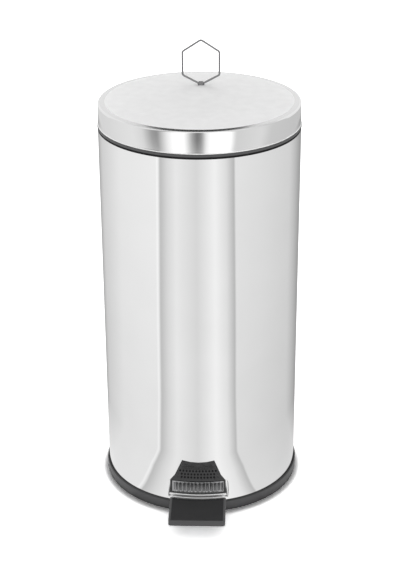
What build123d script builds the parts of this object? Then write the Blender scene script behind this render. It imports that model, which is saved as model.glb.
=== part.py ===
# A pedal bin: polished steel shell, hinged lid, foot pedal with its linkage, and a lift-out bucket.
# Origin on the can's axis at the floor, pedal towards -Y, hinge towards +Y, +Z up, millimetres.
from build123d import *
import math
import os

os.makedirs("parts", exist_ok=True)

# Clearances
slip = 0.2  # between fixed pieces that nest
gap = 0.3  # between pieces that pass each other
run_fit = 0.08  # round a turning or sliding pin
seat_fit = 0.05  # round a fixed screw or rivet
play = 0.6  # room at the loose joints of the linkage

# Shell
body_radius = 146.0
shell_wall = 0.8
shell_length = 554.1

# Base ring, on which the shell stands
flange_thick = 6.0
flange_width = 17.0
ring_height = 16.2
ring_wall = 2.4
ring_edge = 1.2
notch_half = 17.0
hub_radius = 30.0
spoke_width = 14.0
spoke_count = 4
spoke_start = 45.0

# Inner floor and its screws
pan_height = 40.0
pan_thick = 2.5
pan_wall = 2.0
boss_radius = 5.0
boss_inset = 7.5
screw_radius = 2.0
screw_head_radius = 3.8
screw_head = 2.4
screw_length = 17.0

# Rim
rim_band = 6.7
rim_recess = 0.6
rim_bead = 4.0
bead_proud = 0.5
bead_edge = 1.0
rim_leg = 20.0
rim_leg_wall = 2.0
rim_top_wall = 4.7
ledge_drop = 2.7
ledge_thick = 3.0
ledge_reach = 13.0
rim_snap = 0.8
rim_snap_height = 2.0

# Lid
lid_height = 31.8
lid_inset = 0.7
lid_wall = 0.8
lid_slope = 9.4
lid_slope_drop = 0.8
lid_corner = 4.0
lid_corner_round = 2.6
lid_roll = 0.5
lid_roll_sink = 0.1
lid_flare = 2.0
liner_wall = 2.2
liner_height = 8.0

# Hinge
hinge_reach = 10.5
hinge_rise = 3.4
hinge_pin_radius = 2.5
hinge_pin_end = 4.0
hinge_pin_edge = 0.5
eye_radius = 6.0
lid_swing = 75.0
arm_half = 6.5
arm_thick = 2.0
arm_foot_half = 4.5
strap_half = 12.0
strap_length = 70.0
strap_thick = 1.2
slot_margin = 3.0
slot_play = 1.0
lid_gap_rise = 9.0
hinge_ear_gap = 2.5
hinge_ear_thick = 2.0
hinge_ear_radius = 5.5
plate_half = 20.0
plate_thick = 1.5
plate_margin = 7.0
plate_high = 17.0
rivet_radius = 2.0
rivet_head_radius = 3.5
rivet_head = 1.5
rivet_half = 16.3
cover_half = 26.0
cover_wall = 2.0
cover_drop = 49.0
cover_radius = 9.0
cover_bulge = 3.0
cover_belly = 16.3
cover_slot = 24.0
rear_gap_half = 15.0
rear_gap_drop = 16.0

# Push rod
rod_radius = 2.0
rod_inset = 6.2
rod_rate = 19.7  # rise of the rod for each radian of the lid
rod_bend = 5.0
rod_foot = 1.5
collar_radius = 5.0
collar_height = 3.5
collar_gap = 0.8
cap_radius = 4.0
cap_thick = 1.5
guide_half = 7.0
guide_height = 12.0
guide_wall = 2.5
guide_rise = 114.0
guide_drop = 84.7

# Pedal lever
lever_inset = 67.0
lever_pivot_z = 26.8
lever_rear_z = 18.0
lever_half = 12.0
lever_tail_half = 7.0
lever_tail_length = 30.0
lever_thick = 2.5
lever_eye_radius = 5.5
lever_bend = 8.0
lever_pin_radius = 3.0
lever_ear_gap = 0.6
lever_ear_thick = 4.0
lever_ear_half = 7.0
clip_radius = 5.5
clip_thick = 1.2
rod_hole_play = 1.5
window_half = 15.0
window_low = 8.8
window_high = 28.8

# Pedal tread
tread_half = 41.5
tread_reach = 76.4
tread_gap = 7.0
tread_top = 32.4
tread_thick = 3.0
tread_lip = 7.7
tread_corner = 4.0
tread_edge = 0.8
tread_rivet_pitch = 30.0
tread_rivet_inset = 15.0
tread_rivet_depth = 1.5
lever_short = 8.0

# Hood over the pedal
hood_reach = 19.0
hood_top = 88.0
hood_edge = 64.5
hood_top_half = 23.9
hood_waist_half = 34.2
hood_waist_rise = 6.2
hood_slope_half = 40.7
hood_edge_half = 43.5
hood_base_half = 45.5
hood_dip = 2.9
hood_side_drop = 16.0
hood_wall = 2.2
hood_rib = 0.9
hood_rib_foot = 1.35
hood_rib_count = 3
hood_rib_pitch = 3.6
hood_rib_start = 4.2
panel_half = 38.0
panel_low = 44.5
panel_high = 62.5
panel_depth = 1.4
panel_back = 0.6
panel_frame = 2.2
panel_rib_count = 13
panel_rib_radius = 0.9
trim_thick = 1.4
trim_width = 2.6
trim_bar = 8.4
trim_groove = 1.8
hood_screw_half = 14.0
hood_screw_z = 72.0
hood_screw_length = 9.0
hood_boss_radius = 3.6
hood_boss_length = 9.0

# Bucket and its bail
bucket_clear = 6.3
bucket_taper = 5.0
bucket_wall = 1.5
bucket_flange = 2.0
bucket_play = 2.7
bucket_floor_gap = 8.0
bucket_bottom_edge = 6.0
bucket_flat_gap = 4.8
bail_radius = 2.0
bail_reach = 7.8
bail_rise = 5.0
bail_bend = 3.4
bail_ear_inset = 1.5
bail_ear_thick = 3.5
bail_ear_half = 5.0
bail_ear_top = 4.0
bail_end = 1.0
grip_radius = 4.0
grip_half_angle = 22.0

# Ring handle on the lid
ring_half = 27.0
ring_side = 35.0
ring_crown = 17.5
ring_foot = 12.0
ring_wire = 1.4
ring_corner = 4.0
ring_pivot_half = 4.5
ring_pivot_bend = 2.0
ring_inset = 59.9
saddle_half = 3.4
saddle_depth = 4.6
saddle_plate = 0.8
saddle_wall = 0.9

# Places worked out from the sizes
shell_inner = body_radius - shell_wall
shell_base = flange_thick
shell_top = shell_base + shell_length
ring_inner = body_radius + slip
ring_radius = ring_inner + ring_wall
flange_inner = body_radius - flange_width
pan_radius = shell_inner - slip
pan_under = flange_thick + pan_height
pan_top = pan_under + pan_thick
boss_circle = pan_radius - boss_inset
leg_radius = shell_inner - slip
rim_top = shell_top + rim_band
rim_band_radius = body_radius - rim_recess
rim_bead_radius = body_radius + bead_proud
rim_seat_radius = leg_radius - rim_top_wall
ledge_top = shell_top - ledge_drop
ledge_low = ledge_top - ledge_thick
ledge_inner = rim_seat_radius - ledge_reach
leg_inner = leg_radius - rim_leg_wall
ledge_outer = leg_inner - slip
lid_bottom = rim_top + gap
lid_top = lid_bottom + lid_height
lid_under = lid_top - lid_wall
lid_radius = body_radius - lid_inset
lid_edge = lid_radius - lid_corner
lid_flat = lid_edge - lid_slope
lid_inner = lid_radius - lid_wall
liner_outer = lid_inner - gap
liner_inner = liner_outer - liner_wall
liner_low = lid_bottom + gap
pivot_y = body_radius + hinge_reach
pivot_z = lid_bottom + hinge_rise
rod_y = shell_inner - rod_inset
guide_levels = (shell_base + guide_rise, shell_top - guide_drop)
crank = pivot_y - rod_y
half_swing = math.radians(lid_swing) / 2
rod_travel = rod_rate * 2 * half_swing
hook_z = pivot_z - rod_travel / 2
tread_front = body_radius + tread_reach
tread_rear = body_radius + tread_gap
lever_front = tread_front - lever_short
lever_pivot_y = lever_inset - body_radius
lever_rear_length = rod_y - lever_pivot_y
lever_slope = (lever_pivot_z - lever_rear_z) / lever_rear_length
lever_flat_z = tread_top - tread_thick - lever_thick / 2
hood_radius = body_radius + hood_reach
hood_back = body_radius + slip
hood_low = tread_top + play
hood_slope = (hood_top - hood_edge) / (hood_radius - hood_back)
cheek_lean = hood_side_drop / hood_reach
trim_radius = hood_radius + trim_thick
wrap_reach = trim_radius * 2
bucket_low = pan_top + bucket_floor_gap
bucket_radius = ledge_inner - bucket_clear
bucket_floor_radius = bucket_radius - bucket_taper
flange_radius = rim_seat_radius - bucket_play
flange_top = ledge_top + bucket_flange
bail_x = bucket_radius + bail_reach
bail_z = flange_top + bail_rise
saddle_radius = ring_wire + run_fit + saddle_wall
ring_offset = lid_flat - ring_inset
ring_pivot_z = lid_top + saddle_plate + gap + ring_wire


# A slice of a round wall: an outline on the front, cut out of a turned section
def wrapped(outline, section):
    with BuildPart() as block:
        with BuildSketch(Plane.XZ):
            with BuildLine():
                Polyline(*outline, close=True)
            make_face()
        extrude(amount=wrap_reach)
        with BuildSketch(Plane.XZ):
            with BuildLine():
                Polyline(*section, close=True)
            make_face()
        revolve(axis=Axis.Z, mode=Mode.INTERSECT)
    return block.part


# The corners of a rectangle given by two ranges
def oblong(low_x, high_x, low_z, high_z):
    return [(low_x, low_z), (high_x, low_z), (high_x, high_z), (low_x, high_z)]


# A plane that faces outwards at an angle round the can
def facing_out(radius, angle, height):
    turn = math.radians(angle)
    outwards = (math.cos(turn), math.sin(turn), 0)
    return Plane(origin=(radius * outwards[0], radius * outwards[1], height), z_dir=outwards)


# Shell: an open steel tube with a lever window, a gap for the hinge arms, and rivet and screw holes
rivet_z = shell_top - rim_leg - rivet_head_radius - play
rivet_turn = math.degrees(math.asin(rivet_half / body_radius))
hood_screw_turn = math.degrees(math.asin(hood_screw_half / body_radius))
hinge_side = (90 - rivet_turn, 90 + rivet_turn)
hood_side = (270 - hood_screw_turn, 270 + hood_screw_turn)
lever_window = oblong(-window_half, window_half, shell_base + window_low, shell_base + window_high)
rear_gap_low = shell_top - rear_gap_drop
shell_gap = oblong(-rear_gap_half, rear_gap_half, rear_gap_low, shell_top + play)

with BuildPart() as outer_shell:
    with BuildSketch(Plane.XY.offset(shell_base)):
        Circle(body_radius)
        Circle(shell_inner, mode=Mode.SUBTRACT)
    extrude(amount=shell_length)
    with BuildSketch(Plane.XZ):
        with BuildLine():
            Polyline(*lever_window, close=True)
        make_face()
    extrude(amount=body_radius + play, mode=Mode.SUBTRACT)
    with BuildSketch(Plane.XZ):
        with BuildLine():
            Polyline(*shell_gap, close=True)
        make_face()
    extrude(amount=-body_radius - play, mode=Mode.SUBTRACT)
    for angle in hinge_side:
        with BuildSketch(facing_out(shell_inner - play, angle, rivet_z)):
            Circle(rivet_radius + seat_fit)
        extrude(amount=shell_wall + play * 2, mode=Mode.SUBTRACT)
    for angle in hood_side:
        with BuildSketch(facing_out(shell_inner - play, angle, hood_screw_z)):
            Circle(screw_radius + seat_fit)
        extrude(amount=shell_wall + play * 2, mode=Mode.SUBTRACT)

outer_shell.part.label = "outer_shell"
export_step(outer_shell.part, "parts/outer_shell.step")

# Base ring: a dark plastic ring with a floor flange, spokes and a hub, notched for the pedal
with BuildPart() as base_ring:
    with BuildSketch(Plane.XZ) as ring_section:
        with BuildLine():
            Polyline(
                (flange_inner, 0),
                (ring_radius, 0),
                (ring_radius, ring_height),
                (ring_inner, ring_height),
                (ring_inner, flange_thick),
                (flange_inner, flange_thick),
                close=True,
            )
        make_face()
        outer_corners = ring_section.vertices().group_by(Axis.X)[-1].sort_by(Axis.Y)
        chamfer(outer_corners[-1], ring_edge)
    revolve(axis=Axis.Z)
    with BuildSketch(Plane.XZ):
        with BuildLine():
            Polyline(*oblong(-notch_half, notch_half, flange_thick, ring_height + play), close=True)
        make_face()
    extrude(amount=ring_radius + play, mode=Mode.SUBTRACT)
    with BuildSketch(Plane.XY):
        Circle(hub_radius)
        with PolarLocations(flange_inner / 2, spoke_count, start_angle=spoke_start):
            Rectangle(flange_inner + flange_width / 2, spoke_width)
    extrude(amount=flange_thick - gap)
    with PolarLocations(boss_circle, spoke_count, start_angle=spoke_start):
        Cylinder(
            screw_radius + seat_fit,
            flange_thick,
            align=(Align.CENTER, Align.CENTER, Align.MIN),
            mode=Mode.SUBTRACT,
        )
        Cylinder(
            screw_head_radius + gap,
            screw_head + gap,
            align=(Align.CENTER, Align.CENTER, Align.MIN),
            mode=Mode.SUBTRACT,
        )

base_ring.part.label = "base_ring"
export_step(base_ring.part, "parts/base_ring.step")

# Inner floor: a plastic pan inside the shell, with screw bosses and the two ears that carry the lever
lever_ear_in = lever_half + lever_ear_gap
lever_ear_out = lever_ear_in + lever_ear_thick

with BuildPart() as base_pan:
    with BuildSketch(Plane.XZ):
        with BuildLine():
            Polyline(
                (0, pan_under),
                (pan_radius - pan_wall, pan_under),
                (pan_radius - pan_wall, flange_thick),
                (pan_radius, flange_thick),
                (pan_radius, pan_top),
                (0, pan_top),
                close=True,
            )
        make_face()
    revolve(axis=Axis.Z)
    with BuildSketch(Plane.XY.offset(flange_thick)):
        with PolarLocations(boss_circle, spoke_count, start_angle=spoke_start):
            Circle(boss_radius)
    extrude(amount=pan_height)
    with BuildSketch(Plane.XY.offset(flange_thick)):
        with PolarLocations(boss_circle, spoke_count, start_angle=spoke_start):
            Circle(screw_radius + seat_fit)
    extrude(amount=screw_length, mode=Mode.SUBTRACT)
    with BuildSketch(Plane.XZ):
        with BuildLine():
            Polyline(*oblong(-window_half, window_half, flange_thick, shell_base + window_high), close=True)
        make_face()
    extrude(amount=pan_radius + play, mode=Mode.SUBTRACT)
    with BuildSketch(Plane.XZ):
        with BuildLine():
            Polyline(*oblong(-window_half, window_half, flange_thick, pan_under), close=True)
        make_face()
    extrude(amount=-pan_radius - play, mode=Mode.SUBTRACT)
    with BuildSketch(Plane.XY.offset(pan_under)):
        with Locations((0, rod_y)):
            Circle(collar_radius + rod_hole_play)
    extrude(amount=pan_thick, mode=Mode.SUBTRACT)
    for side in (-1, 1):
        with BuildSketch(Plane.YZ.offset(side * lever_ear_in)):
            with Locations((lever_pivot_y, lever_pivot_z)):
                Circle(lever_ear_half)
            with BuildLine():
                Polyline(
                    (lever_pivot_y - lever_ear_half, lever_pivot_z),
                    (lever_pivot_y + lever_ear_half, lever_pivot_z),
                    (lever_pivot_y + lever_ear_half, pan_under),
                    (lever_pivot_y - lever_ear_half, pan_under),
                    close=True,
                )
            make_face()
            with Locations((lever_pivot_y, lever_pivot_z)):
                Circle(lever_pin_radius + seat_fit, mode=Mode.SUBTRACT)
        extrude(amount=side * lever_ear_thick)

base_pan.part.label = "base_pan"
export_step(base_pan.part, "parts/base_pan.step")

# Base screws: driven up through the base ring into the pan's bosses
with BuildPart() as base_screws:
    with BuildSketch(Plane.XY.offset(gap)):
        with PolarLocations(boss_circle, spoke_count, start_angle=spoke_start):
            Circle(screw_head_radius)
    extrude(amount=screw_head)
    with BuildSketch(Plane.XY.offset(gap + screw_head)):
        with PolarLocations(boss_circle, spoke_count, start_angle=spoke_start):
            Circle(screw_radius)
    extrude(amount=screw_length)

base_screws.part.label = "base_screws"
export_step(base_screws.part, "parts/base_screws.step")

# Rim: a black plastic ring pressed into the shell, with a snap bead inside its leg
rim_low = shell_top - rim_leg
rim_gap = oblong(-rear_gap_half, rear_gap_half, rim_low - play, rim_top + play)
snap_top = ledge_low - seat_fit

with BuildPart() as top_rim:
    with BuildSketch(Plane.XZ) as rim_section:
        with BuildLine():
            Polyline(
                (leg_inner, rim_low),
                (leg_radius, rim_low),
                (leg_radius, shell_top),
                (rim_band_radius, shell_top),
                (rim_band_radius, rim_top - rim_bead),
                (rim_bead_radius, rim_top - rim_bead),
                (rim_bead_radius, rim_top),
                (rim_seat_radius, rim_top),
                (rim_seat_radius, ledge_top),
                (leg_inner, ledge_top),
                (leg_inner, snap_top),
                (leg_inner - rim_snap, snap_top),
                (leg_inner, snap_top - rim_snap_height),
                close=True,
            )
        make_face()
        fillet(rim_section.vertices().group_by(Axis.X)[-1], bead_edge)
    revolve(axis=Axis.Z)
    with BuildSketch(Plane.XZ):
        with BuildLine():
            Polyline(*rim_gap, close=True)
        make_face()
    extrude(amount=-rim_bead_radius - play, mode=Mode.SUBTRACT)

top_rim.part.label = "top_rim"
export_step(top_rim.part, "parts/top_rim.step")

# Ledge: a flat plastic ring held up inside the rim by its snap bead, on which the bucket hangs
with BuildPart() as bucket_ledge:
    with BuildSketch(Plane.XY.offset(ledge_low)):
        Circle(ledge_outer)
        Circle(ledge_inner, mode=Mode.SUBTRACT)
        with Locations((0, ledge_inner / 2)):
            Rectangle(rear_gap_half * 2, ledge_outer, align=(Align.CENTER, Align.MIN), mode=Mode.SUBTRACT)
    extrude(amount=ledge_thick)

bucket_ledge.part.label = "bucket_ledge"
export_step(bucket_ledge.part, "parts/bucket_ledge.step")

# Lid: a pressed steel cap with a rolled lower edge, open at the back for the hinge arms
lid_gap_half = arm_half + arm_thick + hinge_ear_gap
lid_gap_top = pivot_z + lid_gap_rise
lid_corner_z = lid_top - lid_slope_drop
lid_corner_under = lid_under - lid_slope_drop

with BuildPart() as lid_shell:
    with BuildSketch(Plane.XZ) as lid_section:
        with BuildLine():
            Polyline(
                (0, lid_top),
                (lid_flat, lid_top),
                (lid_edge, lid_corner_z),
                (lid_radius, lid_corner_z),
                (lid_radius, lid_bottom + lid_flare),
                (lid_radius + lid_roll, lid_bottom + lid_roll),
                (lid_inner + lid_roll, lid_bottom + lid_roll),
                (lid_inner, lid_bottom + lid_flare),
                (lid_inner, lid_corner_under),
                (lid_edge, lid_corner_under),
                (lid_flat, lid_under),
                (0, lid_under),
                close=True,
            )
        make_face()
        corners = lid_section.vertices()
        fillet(corners.sort_by_distance((lid_radius, lid_corner_z))[0], lid_corner_round)
        corners = lid_section.vertices()
        fillet(corners.sort_by_distance((lid_inner, lid_corner_under))[0], lid_corner_round - lid_wall)
        with Locations((lid_radius + lid_roll - lid_roll_sink, lid_bottom + lid_roll)):
            Circle(lid_roll)
    revolve(axis=Axis.Z)
    with BuildSketch(Plane.XZ):
        with BuildLine():
            Polyline(*oblong(-lid_gap_half, lid_gap_half, lid_bottom - play, lid_gap_top), close=True)
        make_face()
    extrude(amount=-body_radius - lid_roll * 2, mode=Mode.SUBTRACT)

lid_shell.part.label = "lid_shell"
export_step(lid_shell.part, "parts/lid_shell.step")

# Lid inner ring: a plastic ring that stiffens the lid's skirt and meets the rim
liner_top = liner_low + liner_height
liner_gap = oblong(-rear_gap_half, rear_gap_half, liner_low - play, liner_top + play)

with BuildPart() as lid_inner_ring:
    with BuildSketch(Plane.XZ) as liner_section:
        with BuildLine():
            Polyline(*oblong(liner_inner, liner_outer, liner_low, liner_top), close=True)
        make_face()
        fillet(liner_section.vertices().group_by(Axis.X)[0], bead_edge)
    revolve(axis=Axis.Z)
    with BuildSketch(Plane.XZ):
        with BuildLine():
            Polyline(*liner_gap, close=True)
        make_face()
    extrude(amount=-liner_outer - play, mode=Mode.SUBTRACT)

lid_inner_ring.part.label = "lid_inner_ring"
export_step(lid_inner_ring.part, "parts/lid_inner_ring.step")

# Lid bracket: a steel strap under the lid with two hinge arms; one arm has the slotted crank lug
slot_near = crank - play
slot_far = math.hypot(crank, rod_travel / 2) + play
slot_length = slot_far - slot_near
slot_width = (rod_radius + gap) * 2 + slot_play
lug_turn = 180 + lid_swing / 2
web_top = lid_flat - play
web_low = pivot_z + eye_radius + arm_thick * 2


# A point on the lug's centre line, measured from the hinge
def along_lug(distance):
    turn = math.radians(lug_turn)
    return (pivot_y + distance * math.cos(turn), pivot_z + distance * math.sin(turn))


with BuildPart() as lid_bracket:
    with BuildSketch(Plane.XY.offset(lid_under - strap_thick)):
        with Locations((0, web_top - strap_length / 2)):
            Rectangle(strap_half * 2, strap_length)
    extrude(amount=strap_thick)
    for side in (-1, 1):
        with BuildSketch(Plane.YZ.offset(side * arm_half)):
            with Locations((pivot_y, pivot_z)):
                Circle(eye_radius)
            with BuildLine():
                Polyline(
                    (pivot_y, pivot_z + arm_foot_half),
                    (lid_inner - arm_thick, pivot_z + eye_radius + arm_thick / 2),
                    (web_top, lid_under),
                    (web_top - strap_half, lid_under),
                    (web_top - strap_half, web_low),
                    (pivot_y, pivot_z - arm_foot_half),
                    close=True,
                )
            make_face()
            if side > 0:
                with Locations(along_lug(slot_far / 2)):
                    SlotCenterToCenter(slot_far, slot_width + slot_margin * 2, rotation=lug_turn)
                with Locations(along_lug((slot_near + slot_far) / 2)):
                    SlotCenterToCenter(slot_length, slot_width, rotation=lug_turn, mode=Mode.SUBTRACT)
            with Locations((pivot_y, pivot_z)):
                Circle(hinge_pin_radius + run_fit, mode=Mode.SUBTRACT)
        extrude(amount=side * arm_thick)

lid_bracket.part.label = "lid_bracket"
export_step(lid_bracket.part, "parts/lid_bracket.step")

# Hinge bracket: a curved steel plate riveted to the shell, with two ears for the hinge pin
plate_inner = body_radius + seat_fit
plate_outer = plate_inner + plate_thick
hinge_ear_in = arm_half + arm_thick + hinge_ear_gap
hinge_ear_out = hinge_ear_in + hinge_ear_thick
plate_bottom = rivet_z - plate_margin
plate_top = pivot_z - plate_high
ear_foot = plate_inner + plate_thick / 2

with BuildPart() as hinge_bracket:
    with BuildSketch(Plane.XZ):
        with BuildLine():
            Polyline(*oblong(-plate_half, plate_half, plate_bottom, plate_top), close=True)
        make_face()
    extrude(amount=-wrap_reach)
    with BuildSketch(Plane.XZ):
        with BuildLine():
            Polyline(*oblong(plate_inner, plate_outer, plate_bottom, plate_top), close=True)
        make_face()
    revolve(axis=Axis.Z, mode=Mode.INTERSECT)
    for side in (-1, 1):
        with BuildSketch(Plane.YZ.offset(side * hinge_ear_in)):
            with Locations((pivot_y, pivot_z)):
                Circle(hinge_ear_radius)
            with BuildLine():
                Polyline(
                    (ear_foot, plate_bottom + plate_high),
                    (pivot_y + hinge_ear_radius, pivot_z),
                    (pivot_y - hinge_ear_radius, pivot_z),
                    (ear_foot, plate_top),
                    close=True,
                )
            make_face()
            with Locations((pivot_y, pivot_z)):
                Circle(hinge_pin_radius + seat_fit, mode=Mode.SUBTRACT)
        extrude(amount=side * hinge_ear_thick)
    for angle in hinge_side:
        with BuildSketch(facing_out(shell_inner, angle, rivet_z)):
            Circle(rivet_radius + seat_fit)
        extrude(amount=shell_wall + plate_thick + play, mode=Mode.SUBTRACT)

hinge_bracket.part.label = "hinge_bracket"
export_step(hinge_bracket.part, "parts/hinge_bracket.step")

# Hinge rivets: through the bracket's plate and the shell, with a head on each side
with BuildPart() as hinge_rivets:
    for angle in hinge_side:
        with BuildSketch(facing_out(shell_inner - seat_fit * 2 - rivet_head, angle, rivet_z)):
            Circle(rivet_head_radius)
        extrude(amount=rivet_head)
        with BuildSketch(facing_out(shell_inner - seat_fit * 2, angle, rivet_z)):
            Circle(rivet_radius)
        extrude(amount=plate_outer - shell_inner + seat_fit * 3)
        with BuildSketch(facing_out(plate_outer + seat_fit, angle, rivet_z)):
            Circle(rivet_head_radius)
        extrude(amount=rivet_head)

hinge_rivets.part.label = "hinge_rivets"
export_step(hinge_rivets.part, "parts/hinge_rivets.step")

# Hinge pin: a steel pin through the bracket's ears and the lid's arms
pin_half = hinge_ear_out + hinge_pin_end

with BuildPart() as hinge_pin:
    with BuildSketch(Plane.YZ.offset(-pin_half)):
        with Locations((pivot_y, pivot_z)):
            Circle(hinge_pin_radius)
    extrude(amount=pin_half * 2)
    chamfer(hinge_pin.edges().filter_by(GeomType.CIRCLE), hinge_pin_edge)

hinge_pin.part.label = "hinge_pin"
export_step(hinge_pin.part, "parts/hinge_pin.step")

# Hinge cover: a black plastic housing behind the hinge, open towards the shell and over the arms
cover_bottom = pivot_z - cover_drop
cover_back = pivot_y + cover_radius
cover_front_top = lid_bottom - play * 2
cover_core_half = cover_half - cover_wall
cover_gap_half = hinge_ear_out + play


# The cover's side view, drawn in by the wall for its hollow
def cover_side(inset):
    radius = cover_radius - inset
    with BuildSketch(Plane.YZ.offset(-cover_half)) as side_view:
        with BuildLine():
            Polyline(
                (shell_inner, cover_bottom + inset),
                (cover_back - cover_bulge, cover_bottom + inset),
                (cover_back + cover_bulge - inset, cover_bottom + cover_belly),
                (pivot_y + radius, pivot_z),
                (pivot_y, pivot_z),
                (pivot_y, cover_front_top - inset * 2),
                (shell_inner, cover_front_top - inset * 2),
                close=True,
            )
        make_face()
        with Locations((pivot_y, pivot_z)):
            Circle(radius)
    return side_view.sketch


cover_outside = cover_side(0)
cover_hollow = cover_side(cover_wall).moved(Location((cover_wall, 0, 0)))

with BuildPart() as hinge_cover:
    extrude(cover_outside, amount=cover_half * 2)
    fillet(hinge_cover.edges().filter_by(Axis.X).group_by(Axis.Y)[-1], cover_bulge)
    extrude(cover_hollow, amount=cover_core_half * 2, mode=Mode.SUBTRACT)
    with BuildSketch(Plane.YZ.offset(-cover_gap_half)):
        with BuildLine():
            Polyline(
                (shell_inner, pivot_z - cover_slot),
                (cover_back - cover_wall, pivot_z - cover_slot),
                (cover_back - cover_wall, pivot_z - play * 2),
                (cover_back + cover_bulge, pivot_z - play * 2),
                (cover_back + cover_bulge, pivot_z + cover_radius + play),
                (shell_inner, pivot_z + cover_radius + play),
                close=True,
            )
        make_face()
    extrude(amount=cover_gap_half * 2, mode=Mode.SUBTRACT)
    with BuildSketch(Plane.YZ.offset(-pin_half - play)):
        with Locations((pivot_y, pivot_z)):
            Circle(hinge_ear_radius + play)
    extrude(amount=(pin_half + play) * 2, mode=Mode.SUBTRACT)
    with BuildSketch(Plane.XY.offset(cover_bottom - play)):
        Circle(rim_bead_radius + gap)
    extrude(amount=cover_drop * 2, mode=Mode.SUBTRACT)

hinge_cover.part.label = "hinge_cover"
export_step(hinge_cover.part, "parts/hinge_cover.step")

# Rod guides: plastic blocks on the shell's inner wall that keep the push rod upright
with BuildPart() as rod_guides:
    for level in guide_levels:
        with BuildSketch(Plane.XY.offset(level)):
            with Locations((0, rod_y - rod_radius - guide_wall)):
                Rectangle(guide_half * 2, shell_inner, align=(Align.CENTER, Align.MIN))
            Circle(shell_inner - seat_fit * 2, mode=Mode.INTERSECT)
            with Locations((0, rod_y)):
                Circle(rod_radius + run_fit, mode=Mode.SUBTRACT)
        extrude(amount=guide_height)

rod_guides.part.label = "rod_guides"
export_step(rod_guides.part, "parts/rod_guides.step")

# Lever pin: the pedal's pivot, through the pan's ears
lever_pin_half = lever_ear_out + clip_thick * 2

with BuildPart() as lever_pin:
    with BuildSketch(Plane.YZ.offset(-lever_pin_half)):
        with Locations((lever_pivot_y, lever_pivot_z)):
            Circle(lever_pin_radius)
    extrude(amount=lever_pin_half * 2)

lever_pin.part.label = "lever_pin"
export_step(lever_pin.part, "parts/lever_pin.step")

# Lever clips: spring washers that hold the lever pin
with BuildPart() as lever_clips:
    for side in (-1, 1):
        with BuildSketch(Plane.YZ.offset(side * (lever_ear_out + seat_fit))):
            with Locations((lever_pivot_y, lever_pivot_z)):
                Circle(clip_radius)
                Circle(lever_pin_radius + seat_fit, mode=Mode.SUBTRACT)
        extrude(amount=side * clip_thick)

lever_clips.part.label = "lever_clips"
export_step(lever_clips.part, "parts/lever_clips.step")


# The hood's front view, drawn in by the wall for its hollow; its top edge dips in the middle
def hood_outline(inset):
    right = [
        (hood_base_half - inset, hood_low - inset),
        (hood_edge_half - inset, hood_edge),
        (hood_edge_half - inset, hood_top - inset),
        (hood_top_half - inset, hood_top - inset),
        ((hood_top_half - inset) / 2, hood_top - inset - hood_dip * 3 / 4),
    ]
    middle = [(0, hood_top - inset - hood_dip)]
    return right + middle + [(-x, z) for x, z in reversed(right)]


# The open space beside one of the hood's cheeks, which narrow to a waist and fall back towards the shell
def hood_cheek(side, inset):
    places = [
        (hood_slope_half, hood_edge),
        (hood_waist_half, hood_edge + hood_waist_rise),
        (hood_top_half, hood_top),
    ]
    line = []
    for half, height in places:
        reach = hood_back + (hood_top - height) / hood_slope
        depth = hood_radius - math.sqrt(reach**2 - half**2)
        line.append((side * (half - inset), height + cheek_lean * depth))
    ceiling = line[-1][1] + hood_side_drop
    outside = [(line[-1][0], ceiling), (side * hood_radius, ceiling), (side * hood_radius, line[0][1])]
    return line + outside


# A piece of the hood, its upper sides cut away along the cheeks
def hood_slice(section, inset):
    with BuildPart() as piece:
        add(wrapped(hood_outline(inset), section))
        for side in (-1, 1):
            with BuildSketch(Plane.XZ.offset(hood_radius)):
                with BuildLine():
                    Polyline(*hood_cheek(side, inset), close=True)
                make_face()
            extrude(amount=hood_radius, dir=(0, 1, -cheek_lean), mode=Mode.SUBTRACT)
    return piece.part


# The hood's side section, drawn in by the wall for its hollow
def hood_section(inset):
    drop = inset * math.hypot(1, hood_slope)
    return [
        (hood_back - inset, hood_low - inset),
        (hood_radius - inset, hood_low - inset),
        (hood_radius - inset, hood_edge + hood_slope * inset - drop),
        (hood_back - inset, hood_edge + hood_slope * (hood_radius - hood_back + inset) - drop),
    ]


# One raised rib across the hood's sloping top
def hood_rib_section(index):
    length = math.hypot(1, hood_slope)
    along = Vector(1 / length, -hood_slope / length)
    out = Vector(hood_slope / length, 1 / length)
    foot = Vector(hood_back, hood_top) + along * (hood_rib_start + hood_rib_pitch * index)
    corners = [
        foot - along * hood_rib_foot - out * hood_rib,
        foot + along * hood_rib_foot - out * hood_rib,
        foot + along * hood_rib + out * hood_rib,
        foot - along * hood_rib + out * hood_rib,
    ]
    return [(corner.X, corner.Y) for corner in corners]


# Hood: a black plastic cover over the pedal's slot, with ribs, a pocket for its panel and screw bosses
panel_floor = hood_radius - panel_depth
pocket = wrapped(
    oblong(-panel_half - slip, panel_half + slip, panel_low - slip, panel_high + slip),
    oblong(panel_floor, hood_radius + play, panel_low - slip, panel_high + slip),
)
hood_block = hood_slice(hood_section(0), 0)
hood_core = hood_slice(hood_section(hood_wall), hood_wall)
hood_ribs = [hood_slice(hood_rib_section(index), hood_wall) for index in range(hood_rib_count)]

with BuildPart() as pedal_hood:
    add(hood_block)
    add(hood_core, mode=Mode.SUBTRACT)
    add(hood_ribs)
    add(pocket, mode=Mode.SUBTRACT)
    for angle in hood_side:
        with BuildSketch(facing_out(hood_back, angle, hood_screw_z)):
            Circle(hood_boss_radius)
        extrude(amount=hood_boss_length)
        with BuildSketch(facing_out(hood_back, angle, hood_screw_z)):
            Circle(screw_radius + seat_fit)
        extrude(amount=hood_screw_length, mode=Mode.SUBTRACT)
    with BuildSketch(Plane.XY.offset(hood_low)):
        Circle(hood_back)
    extrude(amount=hood_top, mode=Mode.SUBTRACT)

pedal_hood.part.label = "pedal_hood"
export_step(pedal_hood.part, "parts/pedal_hood.step")

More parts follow.
